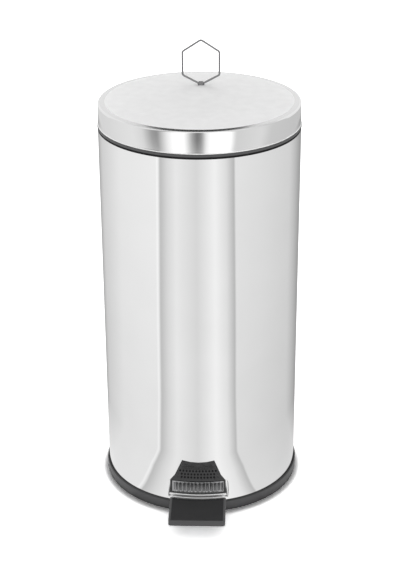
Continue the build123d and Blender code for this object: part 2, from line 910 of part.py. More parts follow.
# Hood panel: a framed insert with upright ribs in the hood's front
panel_back_radius = panel_floor + seat_fit
panel_face = hood_radius - seat_fit
panel_block = wrapped(
    oblong(-panel_half, panel_half, panel_low, panel_high),
    oblong(panel_back_radius, panel_face, panel_low, panel_high),
)
window_reach = panel_half - panel_frame
panel_window = wrapped(
    oblong(-window_reach, window_reach, panel_low + panel_frame, panel_high - panel_frame),
    oblong(panel_back_radius + panel_back, hood_radius, panel_low, panel_high),
)
panel_sweep = math.degrees(math.asin((panel_half - panel_frame * 2) / hood_radius))

with BuildPart() as hood_panel:
    add(panel_block)
    add(panel_window, mode=Mode.SUBTRACT)
    with BuildSketch(Plane.XY.offset(panel_low + panel_frame / 2)):
        with PolarLocations(
            panel_face - panel_rib_radius,
            panel_rib_count,
            start_angle=270 - panel_sweep,
            angular_range=panel_sweep * 2,
            endpoint=True,
        ):
            Circle(panel_rib_radius)
        Circle(panel_back_radius, mode=Mode.SUBTRACT)
    extrude(amount=panel_high - panel_low - panel_frame)

hood_panel.part.label = "hood_panel"
export_step(hood_panel.part, "parts/hood_panel.step")

# Hood trim: a bright frame down both sides of the hood's front, with a double bar across its foot
trim_top = hood_edge
trim_lean = (hood_base_half - hood_edge_half) / (hood_edge - hood_low)


# Half the hood's width at a height below its front edge
def hood_half(height):
    return hood_edge_half + trim_lean * (hood_edge - height)


# A band of the trim between two heights, drawn in at its sides
def trim_outline(inset, low, high):
    right = [(hood_half(low) - inset, low), (hood_half(high) - inset, high)]
    return right + [(-x, z) for x, z in reversed(right)]


trim_inner = hood_radius + seat_fit
bar_top = hood_low + trim_bar
groove_low = hood_low + (trim_bar - trim_groove) / 2
trim_block = wrapped(
    trim_outline(0, hood_low, trim_top),
    oblong(trim_inner, trim_radius, hood_low, trim_top),
)
trim_window = wrapped(
    trim_outline(trim_width, bar_top, trim_top + play),
    oblong(hood_radius - play, trim_radius + play, bar_top, trim_top + play),
)
trim_line = wrapped(
    trim_outline(trim_width, groove_low, groove_low + trim_groove),
    oblong(trim_radius - trim_thick / 2, trim_radius + play, groove_low, groove_low + trim_groove),
)

with BuildPart() as hood_trim:
    add(trim_block)
    add(trim_window, mode=Mode.SUBTRACT)
    add(trim_line, mode=Mode.SUBTRACT)

hood_trim.part.label = "hood_trim"
export_step(hood_trim.part, "parts/hood_trim.step")

# Hood screws: from inside the shell into the hood's bosses
with BuildPart() as hood_screws:
    for angle in hood_side:
        with BuildSketch(facing_out(shell_inner - seat_fit * 2 - screw_head, angle, hood_screw_z)):
            Circle(screw_head_radius)
        extrude(amount=screw_head)
        with BuildSketch(facing_out(shell_inner - seat_fit * 2, angle, hood_screw_z)):
            Circle(screw_radius)
        extrude(amount=hood_screw_length)

hood_screws.part.label = "hood_screws"
export_step(hood_screws.part, "parts/hood_screws.step")

# Ring saddle: the small steel clip on the lid that holds the ring handle
with BuildPart() as ring_saddle:
    with BuildSketch(Plane.XY.offset(lid_top)):
        with Locations((0, ring_offset)):
            RectangleRounded((saddle_half + ring_wire) * 2, saddle_depth * 2, saddle_wall)
    extrude(amount=saddle_plate)
    with BuildSketch(Plane.YZ.offset(-saddle_half)):
        with Locations((ring_offset, ring_pivot_z)):
            Circle(saddle_radius)
        with BuildLine():
            Polyline(
                (ring_offset - saddle_radius, lid_top),
                (ring_offset + saddle_radius, lid_top),
                (ring_offset + saddle_radius, ring_pivot_z),
                (ring_offset - saddle_radius, ring_pivot_z),
                close=True,
            )
        make_face()
        with Locations((ring_offset, ring_pivot_z)):
            Circle(ring_wire + run_fit, mode=Mode.SUBTRACT)
    extrude(amount=saddle_half * 2)

ring_saddle.part.label = "ring_saddle"
export_step(ring_saddle.part, "parts/ring_saddle.step")

# Ring handle: a hexagon of bent wire, with a short straight run where it turns in its saddle
ring_low_corner = ring_pivot_z + ring_foot
ring_high_corner = ring_low_corner + ring_side
ring_points = [
    (0, ring_offset, ring_pivot_z),
    (ring_pivot_half, ring_offset, ring_pivot_z),
    (ring_half, ring_offset, ring_low_corner),
    (ring_half, ring_offset, ring_high_corner),
]
ring_top = Vector(0, ring_offset, ring_high_corner + ring_crown)
side_middle = (Vector(ring_points[-1]) + ring_top) / 2
other_middle = Vector(-side_middle.X, side_middle.Y, side_middle.Z)

with BuildPart() as ring_handle:
    with BuildLine() as ring_side:
        FilletPolyline(*ring_points, side_middle, radius=[ring_pivot_bend, ring_corner, ring_corner])
    with BuildSketch(Plane(origin=ring_side.wire() @ 0, z_dir=ring_side.wire() % 0)):
        Circle(ring_wire)
    sweep(path=ring_side.wire())
    mirror(about=Plane.YZ)
    with BuildLine() as ring_crown:
        FilletPolyline(side_middle, ring_top, other_middle, radius=ring_corner)
    with BuildSketch(Plane(origin=ring_crown.wire() @ 0, z_dir=ring_crown.wire() % 0)):
        Circle(ring_wire)
    sweep(path=ring_crown.wire())

ring_handle.part.label = "ring_handle"
export_step(ring_handle.part, "parts/ring_handle.step")

# Push rod: a steel wire from the lever's tail up to the crank lug, with its top end bent over as a pin
lever_tail_top = lever_rear_z + lever_thick / 2
lever_tail_low = lever_rear_z - lever_thick / 2
low_collar_top = lever_tail_low - collar_gap
high_collar_low = lever_tail_top + collar_gap
rod_low = low_collar_top - collar_height - rod_foot
cap_start = arm_half + arm_thick + play
hook_end = cap_start + cap_thick + rod_foot

with BuildPart() as push_rod:
    with BuildLine() as rod_path:
        FilletPolyline((0, rod_y, rod_low), (0, rod_y, hook_z), (hook_end, rod_y, hook_z), radius=rod_bend)
    with BuildSketch(Plane.XY.offset(rod_low)):
        with Locations((0, rod_y)):
            Circle(rod_radius)
    sweep(path=rod_path.wire())

push_rod.part.label = "push_rod"
export_step(push_rod.part, "parts/push_rod.step")

# Rod collars: above and below the lever's tail
with BuildPart() as rod_collars:
    for level in (low_collar_top - collar_height, high_collar_low):
        with BuildSketch(Plane.XY.offset(level)):
            with Locations((0, rod_y)):
                Circle(collar_radius)
                Circle(rod_radius + seat_fit, mode=Mode.SUBTRACT)
        extrude(amount=collar_height)

rod_collars.part.label = "rod_collars"
export_step(rod_collars.part, "parts/rod_collars.step")

# Rod cap: keeps the rod's bent end in the crank lug
with BuildPart() as rod_cap:
    with BuildSketch(Plane.YZ.offset(cap_start)):
        with Locations((rod_y, hook_z)):
            Circle(cap_radius)
            Circle(rod_radius + seat_fit, mode=Mode.SUBTRACT)
    extrude(amount=cap_thick)

rod_cap.part.label = "rod_cap"
export_step(rod_cap.part, "parts/rod_cap.step")

# Pedal lever: a steel strip from the tread over its pivot to the push rod
lever_end = rod_y + rod_radius + rod_hole_play + rod_foot
lever_line = [
    (-lever_front, lever_flat_z),
    (-tread_rear + lever_bend, lever_flat_z),
    (lever_pivot_y, lever_pivot_z),
    (lever_end, lever_pivot_z - lever_slope * (lever_end - lever_pivot_y)),
]
lever_over = [(y, z + lever_thick / 2) for y, z in lever_line]
lever_below = [(y, z - lever_thick / 2) for y, z in reversed(lever_line)]
rivet_rear = -tread_rear - tread_rivet_inset
tread_rivet_places = [(0, rivet_rear), (0, rivet_rear - tread_rivet_pitch)]

with BuildPart() as pedal_lever:
    with BuildSketch(Plane.YZ.offset(-lever_half)):
        with BuildLine():
            Polyline(*lever_over, *lever_below, close=True)
        make_face()
        with Locations((lever_pivot_y, lever_pivot_z)):
            Circle(lever_eye_radius)
            Circle(lever_pin_radius + run_fit, mode=Mode.SUBTRACT)
    extrude(amount=lever_half * 2)
    with BuildSketch(Plane.XY):
        for side in (-1, 1):
            with Locations((side * (lever_half + lever_tail_half) / 2, lever_end - lever_tail_length / 2)):
                Rectangle(lever_half - lever_tail_half, lever_tail_length)
        with Locations((0, rod_y)):
            Circle(rod_radius + rod_hole_play)
        with Locations(*tread_rivet_places):
            Circle(rivet_radius + seat_fit)
    extrude(amount=tread_top * 2, mode=Mode.SUBTRACT)

pedal_lever.part.label = "pedal_lever"
export_step(pedal_lever.part, "parts/pedal_lever.step")

# Tread: the plastic foot plate, a shallow tray turned over the lever's front end
tread_low = tread_top - tread_lip
tread_under = tread_top - tread_thick
tread_length = tread_front - tread_rear
tread_middle = -(tread_front + tread_rear) / 2

with BuildPart() as pedal_tread:
    with BuildSketch(Plane.XY.offset(tread_low)):
        with Locations((0, tread_middle)):
            RectangleRounded(tread_half * 2, tread_length, tread_corner)
    extrude(amount=tread_lip)
    fillet(pedal_tread.faces().sort_by(Axis.Z)[-1].edges(), tread_edge)
    with BuildSketch(Plane.XY.offset(tread_low)):
        with Locations((0, -tread_front + tread_thick)):
            Rectangle((tread_half - tread_thick) * 2, tread_length, align=(Align.CENTER, Align.MIN))
    extrude(amount=tread_lip - tread_thick, mode=Mode.SUBTRACT)
    with BuildSketch(Plane.XY.offset(tread_under)):
        with Locations(*tread_rivet_places):
            Circle(rivet_radius + seat_fit)
    extrude(amount=tread_rivet_depth + play, mode=Mode.SUBTRACT)

pedal_tread.part.label = "pedal_tread"
export_step(pedal_tread.part, "parts/pedal_tread.step")

# Tread rivets: up through the lever into the tread
lever_flat_low = lever_flat_z - lever_thick / 2

with BuildPart() as tread_rivets:
    with BuildSketch(Plane.XY.offset(lever_flat_low - seat_fit - rivet_head)):
        with Locations(*tread_rivet_places):
            Circle(rivet_head_radius)
    extrude(amount=rivet_head)
    with BuildSketch(Plane.XY.offset(lever_flat_low - seat_fit)):
        with Locations(*tread_rivet_places):
            Circle(rivet_radius)
    extrude(amount=lever_thick + tread_rivet_depth)

tread_rivets.part.label = "tread_rivets"
export_step(tread_rivets.part, "parts/tread_rivets.step")

# Bucket: a tapered liner that hangs by its flange on the ledge, cut flat at the back, with two bail ears
bail_ear_in = bucket_radius + bail_ear_inset
bail_ear_height = bail_z + bail_ear_top - flange_top
inner_floor_radius = bucket_floor_radius - bucket_wall
inner_floor_z = bucket_low + bucket_wall

with BuildPart() as inner_bucket:
    with BuildSketch(Plane.XZ):
        with BuildLine():
            Polyline(
                (0, bucket_low),
                (bucket_floor_radius - bucket_bottom_edge, bucket_low),
                (bucket_floor_radius, bucket_low + bucket_bottom_edge),
                (bucket_radius, ledge_top),
                (flange_radius, ledge_top),
                (flange_radius, flange_top),
                (bucket_radius - bucket_wall, flange_top),
                (inner_floor_radius, inner_floor_z + bucket_bottom_edge),
                (inner_floor_radius - bucket_bottom_edge, inner_floor_z),
                (0, inner_floor_z),
                close=True,
            )
        make_face()
    revolve(axis=Axis.Z)
    with BuildSketch(Plane.XY.offset(ledge_top)):
        with Locations((0, bucket_radius + bucket_flat_gap)):
            Rectangle(flange_radius * 2, flange_radius, align=(Align.CENTER, Align.MIN))
    extrude(amount=bucket_flange, mode=Mode.SUBTRACT)
    for side in (-1, 1):
        with BuildSketch(Plane.XY.offset(flange_top)):
            with Locations((side * (bail_ear_in + bail_ear_thick / 2), 0)):
                Rectangle(bail_ear_thick, bail_ear_half * 2)
        extrude(amount=bail_ear_height)
        with BuildSketch(Plane.YZ.offset(side * bail_ear_in)):
            with Locations((0, bail_z)):
                Circle(bail_radius + run_fit)
        extrude(amount=side * bail_ear_thick, mode=Mode.SUBTRACT)

inner_bucket.part.label = "inner_bucket"
export_step(inner_bucket.part, "parts/inner_bucket.step")

# Bail: the bucket's wire handle, lying forwards on the flange
bail_inner_end = bail_ear_in - bail_end
bend_start = bail_x - bail_bend
bend_middle = bail_bend * (1 - math.sqrt(0.5))
bail_far = bail_bend + bail_x
left_bend = (-bail_x + bend_middle, -bend_middle, bail_z)
right_bend = (bail_x - bend_middle, -bend_middle, bail_z)

with BuildPart() as bucket_bail:
    with BuildLine() as bail_path:
        Line((-bail_inner_end, 0, bail_z), (-bend_start, 0, bail_z))
        ThreePointArc((-bend_start, 0, bail_z), left_bend, (-bail_x, -bail_bend, bail_z))
        ThreePointArc((-bail_x, -bail_bend, bail_z), (0, -bail_far, bail_z), (bail_x, -bail_bend, bail_z))
        ThreePointArc((bail_x, -bail_bend, bail_z), right_bend, (bend_start, 0, bail_z))
        Line((bend_start, 0, bail_z), (bail_inner_end, 0, bail_z))
    with BuildSketch(Plane.YZ.offset(-bail_inner_end)):
        with Locations((0, bail_z)):
            Circle(bail_radius)
    sweep(path=bail_path.wire())

bucket_bail.part.label = "bucket_bail"
export_step(bucket_bail.part, "parts/bucket_bail.step")

# Bail grip: a plastic sleeve on the middle of the bail
with BuildPart() as bail_grip:
    with BuildLine() as grip_path:
        CenterArc((0, -bail_bend, bail_z), bail_x, 270 - grip_half_angle, grip_half_angle * 2)
    with BuildSketch(Plane(origin=grip_path.wire() @ 0, z_dir=grip_path.wire() % 0)):
        Circle(grip_radius)
        Circle(bail_radius + seat_fit, mode=Mode.SUBTRACT)
    sweep(path=grip_path.wire())

bail_grip.part.label = "bail_grip"
export_step(bail_grip.part, "parts/bail_grip.step")
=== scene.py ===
import math

import bmesh
import bpy
from mathutils import Matrix, Vector


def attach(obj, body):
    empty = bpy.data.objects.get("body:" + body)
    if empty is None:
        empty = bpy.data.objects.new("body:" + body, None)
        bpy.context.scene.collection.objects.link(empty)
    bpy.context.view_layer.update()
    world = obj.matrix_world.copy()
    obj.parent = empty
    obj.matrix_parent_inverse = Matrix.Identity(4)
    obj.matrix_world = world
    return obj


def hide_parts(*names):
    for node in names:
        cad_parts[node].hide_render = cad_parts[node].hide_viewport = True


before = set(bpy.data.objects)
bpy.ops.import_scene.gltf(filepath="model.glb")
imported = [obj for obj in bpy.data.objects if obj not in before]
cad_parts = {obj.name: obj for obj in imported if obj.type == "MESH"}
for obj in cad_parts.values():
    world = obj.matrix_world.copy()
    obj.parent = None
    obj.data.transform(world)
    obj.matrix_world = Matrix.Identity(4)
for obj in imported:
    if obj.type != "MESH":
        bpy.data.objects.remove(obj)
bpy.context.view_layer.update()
print("frame loaded:", len(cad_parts), "nodes")

# every piece is drawn in millimetres in the CAD's own frame, and scaled to metres as it is finished
mmPerMetre = 1000
weld = 0.002  # points closer than this are one
slack = 0.01  # a point this close to a plane or a height lies in it
usualSharpDeg = 32  # edges that turn further than this stay sharp, unless a piece says otherwise


def hexColor(code):  # sRGB hex to linear
    parts = [int(code[i:i + 2], 16) / 255 for i in (1, 3, 5)]
    return [c / 12.92 if c <= 0.04045 else ((c + 0.055) / 1.055) ** 2.4 for c in parts] + [1.0]


def addNode(tree, kind, settings=None, values=None, links=None):
    node = tree.nodes.new(kind)
    for name, value in (settings or {}).items():
        setattr(node, name, value)
    for socket, value in (values or {}).items():
        node.inputs[socket].default_value = value
    for socket, source in (links or {}).items():
        tree.links.new(source, node.inputs[socket])
    return node


def emptyMaterial(name):
    material = bpy.data.materials.new(name)
    material.use_nodes = True
    material.node_tree.nodes.clear()
    return material, material.node_tree


# cold-rolled stainless sheet: fine grit lines and a faint waviness blur the mirror a little
def steelSheet(name, look):
    material, tree = emptyMaterial(name)
    place = addNode(tree, "ShaderNodeTexCoord")
    stretch = addNode(tree, "ShaderNodeMapping", values={"Scale": look["stretch"]},
                      links={"Vector": place.outputs["Object"]})
    grit = addNode(tree, "ShaderNodeTexNoise", links={"Vector": stretch.outputs["Vector"]},
                   values={"Scale": mmPerMetre / look["gritMm"], "Detail": 3.0})
    rough = addNode(tree, "ShaderNodeMapRange", links={"Value": grit.outputs["Fac"]},
                    values={"To Min": look["rough"][0], "To Max": look["rough"][1]})
    cloud = addNode(tree, "ShaderNodeTexNoise", links={"Vector": place.outputs["Object"]},
                    values={"Scale": mmPerMetre / look["cloudMm"], "Detail": 2.0})
    tint = addNode(tree, "ShaderNodeMix", {"data_type": "RGBA"}, links={"Factor": cloud.outputs["Fac"]},
                   values={"A": hexColor(look["dark"]), "B": hexColor(look["light"])})
    scratch = addNode(tree, "ShaderNodeBump", links={"Height": grit.outputs["Fac"]},
                      values={"Strength": look["bump"], "Distance": look["bumpMm"] / mmPerMetre})
    shader = addNode(tree, "ShaderNodeBsdfPrincipled", values={"Metallic": 1.0},
                     links={"Base Color": tint.outputs["Result"], "Roughness": rough.outputs["Result"],
                            "Normal": scratch.outputs["Normal"]})
    addNode(tree, "ShaderNodeOutputMaterial", links={"Surface": shader.outputs["BSDF"]})
    return material


# moulded thermoplastic: spark-eroded grain in the skin, and flow marks that shift the gloss
def mouldedPlastic(name, look):
    material, tree = emptyMaterial(name)
    place = addNode(tree, "ShaderNodeTexCoord")
    grain = addNode(tree, "ShaderNodeTexNoise", links={"Vector": place.outputs["Object"]},
                    values={"Scale": mmPerMetre / look["grainMm"], "Detail": 4.0})
    flow = addNode(tree, "ShaderNodeTexNoise", links={"Vector": place.outputs["Object"]},
                   values={"Scale": mmPerMetre / look["flowMm"], "Detail": 2.0})
    rough = addNode(tree, "ShaderNodeMapRange", links={"Value": flow.outputs["Fac"]},
                    values={"To Min": look["rough"][0], "To Max": look["rough"][1]})
    tint = addNode(tree, "ShaderNodeMix", {"data_type": "RGBA"}, links={"Factor": grain.outputs["Fac"]},
                   values={"A": hexColor(look["dark"]), "B": hexColor(look["light"])})
    bump = addNode(tree, "ShaderNodeBump", links={"Height": grain.outputs["Fac"]},
                   values={"Strength": look["bump"], "Distance": look["bumpMm"] / mmPerMetre})
    shader = addNode(tree, "ShaderNodeBsdfPrincipled",
                     values={"IOR": look["ior"], "Specular IOR Level": look["gloss"]},
                     links={"Base Color": tint.outputs["Result"], "Roughness": rough.outputs["Result"],
                            "Normal": bump.outputs["Normal"]})
    addNode(tree, "ShaderNodeOutputMaterial", links={"Surface": shader.outputs["BSDF"]})
    return material


# stainless steel buffed to a mirror; the buffing lines run up the can, drawn at 1.5 mm where the real
# ones are far finer
polishedSteel = steelSheet("polishedSteel", {
    "dark": "#e1e1e1", "light": "#e6e6e6", "rough": (0.05, 0.08), "gritMm": 1.5, "cloudMm": 60,
    "stretch": (1, 1, 0.02), "bump": 0.02, "bumpMm": 0.02})
# the lid's skirt keeps the mirror, with its buffing lines running round
polishedSkirt = steelSheet("polishedSkirt", {
    "dark": "#e1e1e1", "light": "#e6e6e6", "rough": (0.07, 0.11), "gritMm": 1.5, "cloudMm": 60,
    "stretch": (0.1, 0.1, 1), "bump": 0.02, "bumpMm": 0.02})
# the border of the lid's top has the same polish, a shade duller
polishedBorder = steelSheet("polishedBorder", {
    "dark": "#d7d7d7", "light": "#dcdcdc", "rough": (0.08, 0.12), "gritMm": 1.5, "cloudMm": 60,
    "stretch": (1, 1, 1), "bump": 0.02, "bumpMm": 0.02})
# the lid's top is left satin: grit of about 0.5 mm scatters the reflection, drawn at 2 mm so that it
# shows
satinSteel = steelSheet("satinSteel", {
    "dark": "#f1f1f1", "light": "#fbfbfb", "rough": (0.58, 0.68), "gritMm": 2.0, "cloudMm": 14,
    "stretch": (1, 1, 1), "bump": 0.12, "bumpMm": 0.08})
# satin chrome over plastic: bright, and too blurred to show the dark tread below it
satinChrome = steelSheet("satinChrome", {
    "dark": "#e6e6e6", "light": "#f0f0f0", "rough": (0.40, 0.48), "gritMm": 2.0, "cloudMm": 20,
    "stretch": (1, 1, 1), "bump": 0.03, "bumpMm": 0.02})
# dull chrome on the hood's moulded panel; behind its ribs it is painted greyer, as shade
panelSilver = steelSheet("panelSilver", {
    "dark": "#a9a9aa", "light": "#b3b3b4", "rough": (0.42, 0.50), "gritMm": 2.0, "cloudMm": 20,
    "stretch": (1, 1, 1), "bump": 0.03, "bumpMm": 0.02})
panelRecessShade = steelSheet("panelRecessShade", {
    "dark": "#727273", "light": "#7c7c7d", "rough": (0.45, 0.55), "gritMm": 2.0, "cloudMm": 20,
    "stretch": (1, 1, 1), "bump": 0.03, "bumpMm": 0.02})
# drawn steel wire with die lines along it; its colour is painted darker than the sheet's, standing in
# for the dark it reflects
drawnWirePaintedDark = steelSheet("drawnWirePaintedDark", {
    "dark": "#7e7e7f", "light": "#929293", "rough": (0.16, 0.26), "gritMm": 0.5, "cloudMm": 8,
    "stretch": (1, 1, 1), "bump": 0.05, "bumpMm": 0.02})
# zinc plate on cold-formed steel: dull, slightly blue, with a cloudy spangle
zincPlate = steelSheet("zincPlate", {
    "dark": "#b4b7ba", "light": "#d2d4d6", "rough": (0.28, 0.42), "gritMm": 0.8, "cloudMm": 5,
    "stretch": (1, 1, 1), "bump": 0.10, "bumpMm": 0.04})
# polypropylene of the base ring and the rim's bead, dark grey with a fine eroded grain
greyPolypropylene = mouldedPlastic("greyPolypropylene", {
    "dark": "#454546", "light": "#4f4f50", "rough": (0.42, 0.55), "grainMm": 0.9, "flowMm": 30,
    "bump": 0.25, "bumpMm": 0.12, "ior": 1.49, "gloss": 0.45})
# ABS mouldings, near black and a little shiny
blackAbs = mouldedPlastic("blackAbs", {
    "dark": "#222223", "light": "#2b2b2c", "rough": (0.36, 0.50), "grainMm": 0.8, "flowMm": 25,
    "bump": 0.20, "bumpMm": 0.10, "ior": 1.53, "gloss": 0.5})
# painted shade: the same ABS made darker and dead matt, for the recesses where shade falls
shadedRecessAbs = mouldedPlastic("shadedRecessAbs", {
    "dark": "#141415", "light": "#1b1b1c", "rough": (0.70, 0.80), "grainMm": 0.8, "flowMm": 25,
    "bump": 0.20, "bumpMm": 0.10, "ior": 1.53, "gloss": 0.15})
# polypropylene of the foot plate: its border and lip are worn a little lighter
treadPolypropylene = mouldedPlastic("treadPolypropylene", {
    "dark": "#404041", "light": "#4b4b4c", "rough": (0.36, 0.48), "grainMm": 1.1, "flowMm": 18,
    "bump": 0.20, "bumpMm": 0.10, "ior": 1.49, "gloss": 0.5})
# its sunk face is dark and coarser, so that a shoe grips it
treadGrip = mouldedPlastic("treadGrip", {
    "dark": "#242425", "light": "#2e2e2f", "rough": (0.58, 0.70), "grainMm": 1.3, "flowMm": 18,
    "bump": 0.35, "bumpMm": 0.18, "ior": 1.49, "gloss": 0.25})
# the lift-out bucket is thin-walled polypropylene with a soft sheen
bucketPolypropylene = mouldedPlastic("bucketPolypropylene", {
    "dark": "#3f4043", "light": "#4a4b4e", "rough": (0.40, 0.55), "grainMm": 1.4, "flowMm": 60,
    "bump": 0.12, "bumpMm": 0.08, "ior": 1.49, "gloss": 0.5})
print("materials made")


def fromAxis(point):
    return math.hypot(point.x, point.y)


def spinRound(bm, geom, steps, centre=(0, 0, 0)):
    bmesh.ops.spin(bm, geom=geom, cent=centre, axis=(0, 0, 1), angle=math.tau, steps=steps,
                   use_merge=True)


def soften(bm, edges, width, segments=3):
    bmesh.ops.bevel(bm, geom=edges, offset=width, affect="EDGES", segments=segments, profile=0.5,
                    material=-1)


# a profile of (radius, height) points turned round the can's axis
def turned(profile, closed=False, steps=160):
    bm = bmesh.new()
    line = [bm.verts.new((r, 0, z)) for r, z in profile]
    ends = line[1:] + line[:1] if closed else line[1:]
    edges = [bm.edges.new(pair) for pair in zip(line, ends)]
    spinRound(bm, line + edges, steps)
    bmesh.ops.remove_doubles(bm, verts=bm.verts, dist=weld)
    bmesh.ops.dissolve_degenerate(bm, edges=bm.edges, dist=weld)
    bmesh.ops.recalc_face_normals(bm, faces=bm.faces)
    return bm


def ringEdges(bm, radius, height, reach=0.02):
    return [e for e in bm.edges if all(
        abs(fromAxis(v.co) - radius) < reach and abs(v.co.z - height) < reach for v in e.verts)]


def softenRings(bm, places, width, segments=3):
    soften(bm, [e for place in places for e in ringEdges(bm, *place)], width, segments)


def block(low, high, bm=None):
    bm = bm or bmesh.new()
    middle = (Vector(low) + Vector(high)) / 2
    size = Vector(high) - Vector(low)
    bmesh.ops.create_cube(bm, size=1, matrix=Matrix.Translation(middle) @ Matrix.Diagonal((*size, 1)))
    return bm


def rod(start, end, radius, segments=24, bm=None):
    bm = bm or bmesh.new()
    start, end = Vector(start), Vector(end)
    turn = (end - start).to_track_quat("Z", "Y").to_matrix().to_4x4()
    bmesh.ops.create_cone(bm, cap_ends=True, segments=segments, radius1=radius, radius2=radius,
                          depth=(end - start).length,
                          matrix=Matrix.Translation((start + end) / 2) @ turn)
    return bm


def meshObject(name, bm, materials=()):
    mesh = bpy.data.meshes.new(name)
    bm.to_mesh(mesh)
    bm.free()
    for material in materials:
        mesh.materials.append(material)
    made = bpy.data.objects.new(name, mesh)
    bpy.context.scene.collection.objects.link(made)
    return made


def carve(bm, cutter):
    blanks = [meshObject("blank", part) for part in (bm, cutter)]
    tool = blanks[0].modifiers.new("cut", "BOOLEAN")
    tool.object = blanks[1]
    solved = blanks[0].evaluated_get(bpy.context.evaluated_depsgraph_get())
    bm = bmesh.new()
    bm.from_mesh(bpy.data.meshes.new_from_object(solved))
    for blank in blanks:
        bpy.data.objects.remove(blank)
    return bm


def finishPiece(name, bm, look, materials, body, nodes):
    bmesh.ops.remove_doubles(bm, verts=bm.verts, dist=weld)
    bmesh.ops.recalc_face_normals(bm, faces=bm.faces)
    bmesh.ops.scale(bm, vec=[1 / mmPerMetre] * 3, verts=bm.verts)
    piece = meshObject(name, bm, materials)
    piece.data.shade_smooth()
    piece.data.set_sharp_from_angle(angle=math.radians(look.get("sharpDeg", usualSharpDeg)))
    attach(piece, body)
    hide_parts(*nodes)
    return piece


# a CAD mesh in millimetres, its flat triangles joined unless joinDeg is 0
def smoothCopy(node, joinDeg=0.5):
    bm = bmesh.new()
    bm.from_mesh(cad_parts[node].data)
    bmesh.ops.scale(bm, vec=[mmPerMetre] * 3, verts=bm.verts)
    bmesh.ops.remove_doubles(bm, verts=bm.verts, dist=weld)
    if joinDeg:
        bmesh.ops.dissolve_limit(bm, angle_limit=math.radians(joinDeg), verts=bm.verts,
                                 edges=bm.edges)
    return bm


# a circle pushed along runs, of one length each, and turned through bends of a radius and an angle
def bentWire(look, start, heading, normal, path, fewestSteps=5):
    bm = bmesh.new()
    place, heading, normal = Vector(start), Vector(heading), Vector(normal)
    turn = heading.to_track_quat("Z", "Y").to_matrix().to_4x4()
    bmesh.ops.create_circle(bm, segments=look["segments"], radius=look["wire"],
                            matrix=Matrix.Translation(place) @ turn)
    end = bm.edges[:]
    for step in path:
        if len(step) == 1:
            grown = bmesh.ops.extrude_edge_only(bm, edges=end)["geom"]
            moved = [v for v in grown if isinstance(v, bmesh.types.BMVert)]
            bmesh.ops.translate(bm, vec=heading * step[0], verts=moved)
            place = place + heading * step[0]
        else:
            radius, angle = step[0], math.radians(step[1])
            centre = place + normal.cross(heading) * radius
            count = max(fewestSteps, round(math.degrees(angle) / look["bendStepDeg"]))
            geom = list({v for e in end for v in e.verts}) + end
            grown = bmesh.ops.spin(bm, geom=geom, cent=centre, axis=normal, angle=angle,
                                   steps=count)["geom_last"]
            swing = Matrix.Rotation(angle, 3, normal)
            place = centre + swing @ (place - centre)
            heading = swing @ heading
        end = [e for e in grown if isinstance(e, bmesh.types.BMEdge)]
        end = [e for e in end if all(abs((v.co - place).dot(heading)) < slack for v in e.verts)]
    return bm


# shell: a rolled steel tube with the lever's window in front and a gap behind for the hinge arms
shell = {"radius": 146.0, "wall": 0.8, "low": 6.0, "high": 560.1, "steps": 240,
         "window": ((-15, -150, 14.8), (15, -130, 34.8)), "gap": ((-15, 130, 544.1), (15, 150, 562))}
inside = shell["radius"] - shell["wall"]
bm = turned([(shell["radius"], shell["low"]), (shell["radius"], shell["high"]), (inside, shell["high"]),
             (inside, shell["low"])], closed=True, steps=shell["steps"])
bm = carve(bm, block(*shell["gap"], bm=block(*shell["window"])))
finishPiece("outerShell", bm, shell, [polishedSteel], "can", ["outer_shell"])
print("shell made")

# base ring: wall round the shell's foot, floor flange, and a hub on four spokes
base = {"radius": 148.58, "inside": 146.2, "height": 16.2, "flange": 6.0, "flangeInside": 129.0,
        "edge": 1.2, "lesserEdge": 0.5, "notch": ((-17, -160, 6), (17, -100, 22)), "hub": 30.0,
        "hubSides": 64, "spoke": 14.0, "spokeHeight": 5.7, "spokeOverlap": 4.0}
bm = turned([(base["flangeInside"], 0), (base["radius"], 0), (base["radius"], base["height"]),
             (base["inside"], base["height"]), (base["inside"], base["flange"]),
             (base["flangeInside"], base["flange"])], closed=True)
softenRings(bm, [(base["radius"], base["height"])], base["edge"], segments=5)
softenRings(bm, [(base["inside"], base["height"]), (base["radius"], 0)], base["lesserEdge"],
            segments=2)
bm = carve(bm, block(*base["notch"]))
rod((0, 0, 0), (0, 0, base["spokeHeight"]), base["hub"], base["hubSides"], bm)
middle = Matrix.Translation(((base["flangeInside"] + base["hub"]) / 2, 0, base["spokeHeight"] / 2))
length = base["flangeInside"] - base["hub"] + base["spokeOverlap"] * 2
size = Matrix.Diagonal((length, base["spoke"], base["spokeHeight"], 1))
for quarter in range(4):
    turn = Matrix.Rotation(math.radians(45 + 90 * quarter), 4, "Z")
    bmesh.ops.create_cube(bm, size=1, matrix=turn @ middle @ size)
for face in bm.faces:  # the rounded top edge is painted black, as shade where the ring meets the shell
    face.material_index = int(face.calc_center_median().z > base["height"] - base["edge"])
finishPiece("baseRing", bm, base, [greyPolypropylene, blackAbs], "can", ["base_ring"])
print("base ring made")

# rim: a band under the lid with a bead above a shallow recess, and a hairline seam in the bead; the
# band is painted near black as shade
rim = {"legIn": 143.0, "legOut": 145.0, "low": 540.1, "band": 145.4, "bandLow": 560.1, "bead": 146.5,
       "beadLow": 562.8, "top": 566.8, "inside": 140.3, "insideLow": 557.4, "beadEdge": 0.9,
       "topEdge": 0.6, "greyAbove": 563.2, "greyBeyond": 145.5, "seamDeg": -82.0, "seamHalf": 0.5,
       "seamBeyond": 145.6, "seamDepth": 0.7, "gap": ((-15, 120, 535), (15, 160, 570))}
bm = turned([(rim["legIn"], rim["low"]), (rim["legOut"], rim["low"]), (rim["legOut"], rim["bandLow"]),
             (rim["band"], rim["bandLow"]), (rim["band"], rim["beadLow"]),
             (rim["bead"], rim["beadLow"]), (rim["bead"], rim["top"]), (rim["inside"], rim["top"]),
             (rim["inside"], rim["insideLow"]), (rim["legIn"], rim["insideLow"])], closed=True)
softenRings(bm, [(rim["bead"], rim["beadLow"]), (rim["bead"], rim["top"])], rim["beadEdge"])
